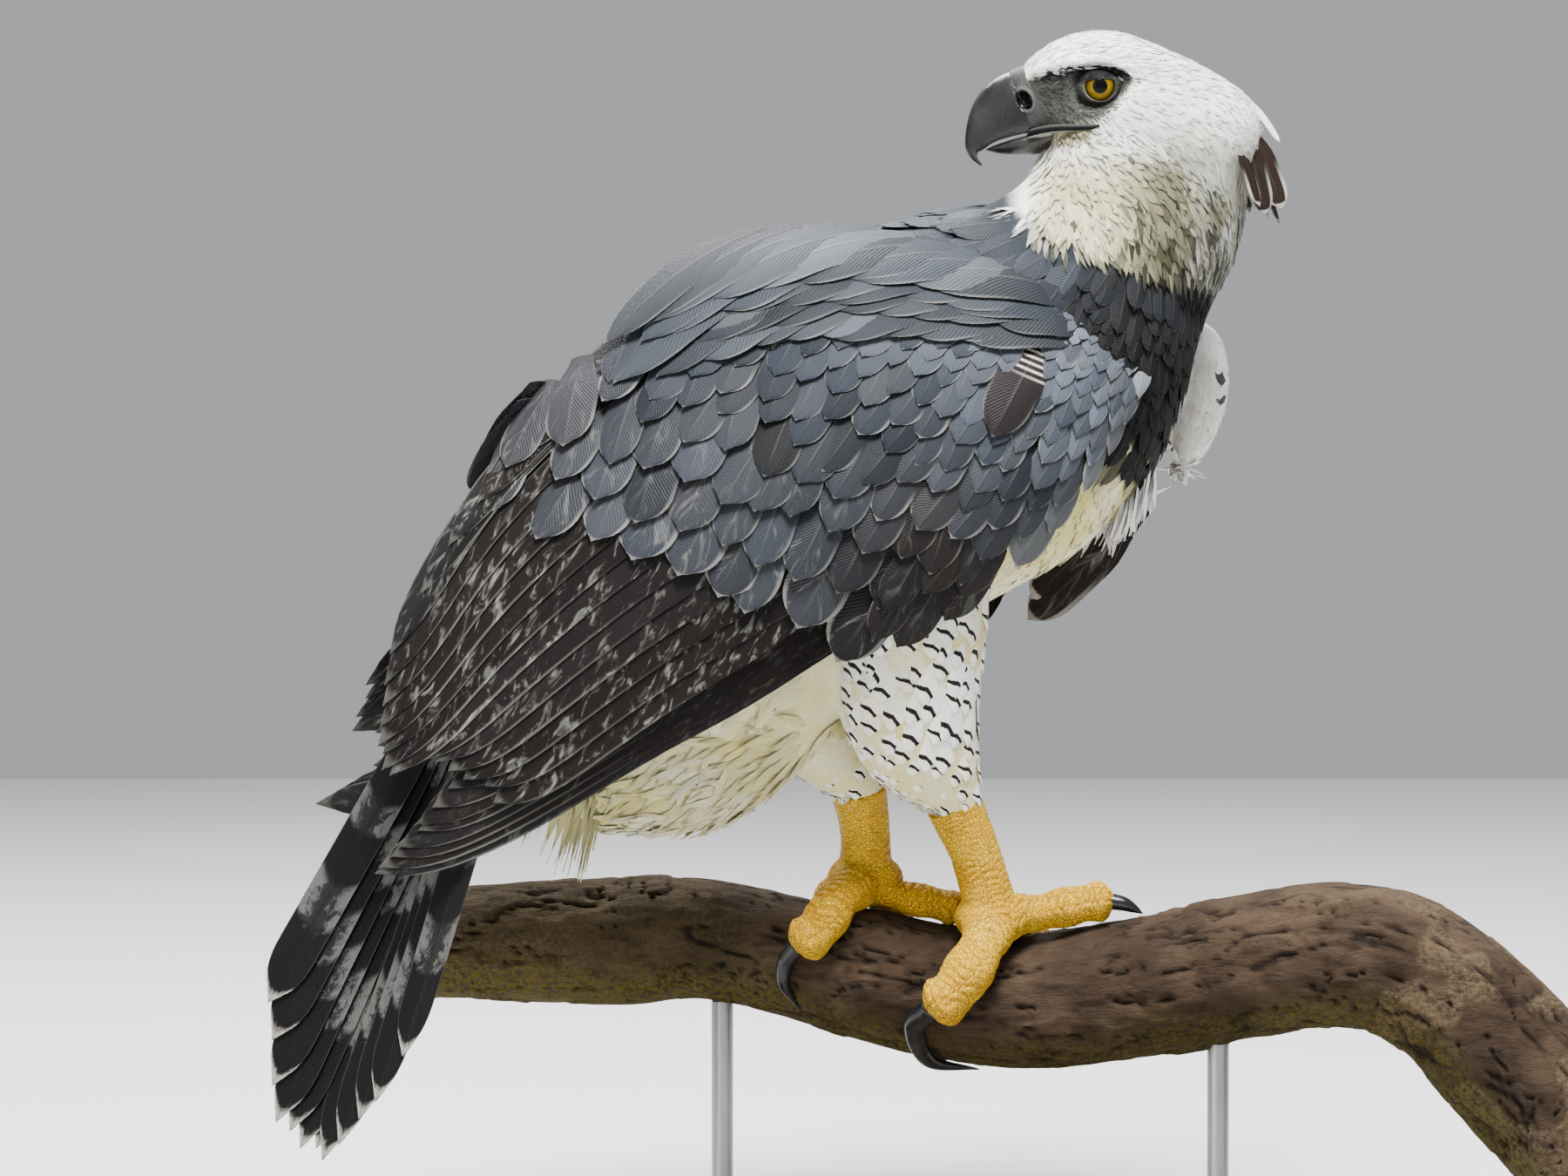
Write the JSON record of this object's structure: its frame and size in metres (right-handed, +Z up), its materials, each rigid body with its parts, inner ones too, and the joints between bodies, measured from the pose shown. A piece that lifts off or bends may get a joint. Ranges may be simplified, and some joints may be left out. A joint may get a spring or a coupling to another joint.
{
  "type": "perched bird of prey",
  "caption": "Large crested eagle gripping a short bent length of branch and looking back over its shoulder, on a flat display stand with short rods.",
  "frame": {"origin": "centre of the underside of the stand's base", "axes": "+Z up; the bird's breast faces +X, turned a little towards +Y, and its head looks back towards -X; the picture was taken from -Y"},
  "size_m": [0.8888, 0.301, 0.777],
  "materials": {
    "plumage_slate": "matte",
    "plumage_white": "matte",
    "plumage_dark": "matte",
    "thigh_barred": "matte",
    "bill_horn": "satin",
    "claw_horn": "gloss",
    "leg_skin": "satin",
    "eye_amber": "gloss",
    "bark": "matte",
    "stand_wood": "satin",
    "stand_steel": "satin"
  },
  "bodies": {
    "root": {"torso": "plumage_slate", "neck": "plumage_white", "head": "plumage_white", "bill_upper": "bill_horn", "bill_lower": "bill_horn", "eye_right": "eye_amber", "eye_left": "eye_amber", "wing_right": "plumage_slate", "wing_left": "plumage_slate", "tail": "plumage_dark", "thigh_right": "thigh_barred", "tarsus_right": "leg_skin", "toe_hallux_right": "leg_skin", "claw_hallux_right": "claw_horn", "toe_middle_right": "leg_skin", "claw_middle_right": "claw_horn", "toe_inner_right": "leg_skin", "claw_inner_right": "claw_horn", "toe_outer_right": "leg_skin", "claw_outer_right": "claw_horn", "thigh_left": "thigh_barred", "tarsus_left": "leg_skin", "toe_hallux_left": "leg_skin", "claw_hallux_left": "claw_horn", "toe_middle_left": "leg_skin", "claw_middle_left": "claw_horn", "toe_inner_left": "leg_skin", "claw_inner_left": "claw_horn", "toe_outer_left": "leg_skin", "claw_outer_left": "claw_horn", "perch_branch": "bark", "stand_base": "stand_wood", "stand_rod_1": "stand_steel", "stand_rod_2": "stand_steel"}
  },
  "joints": []
}
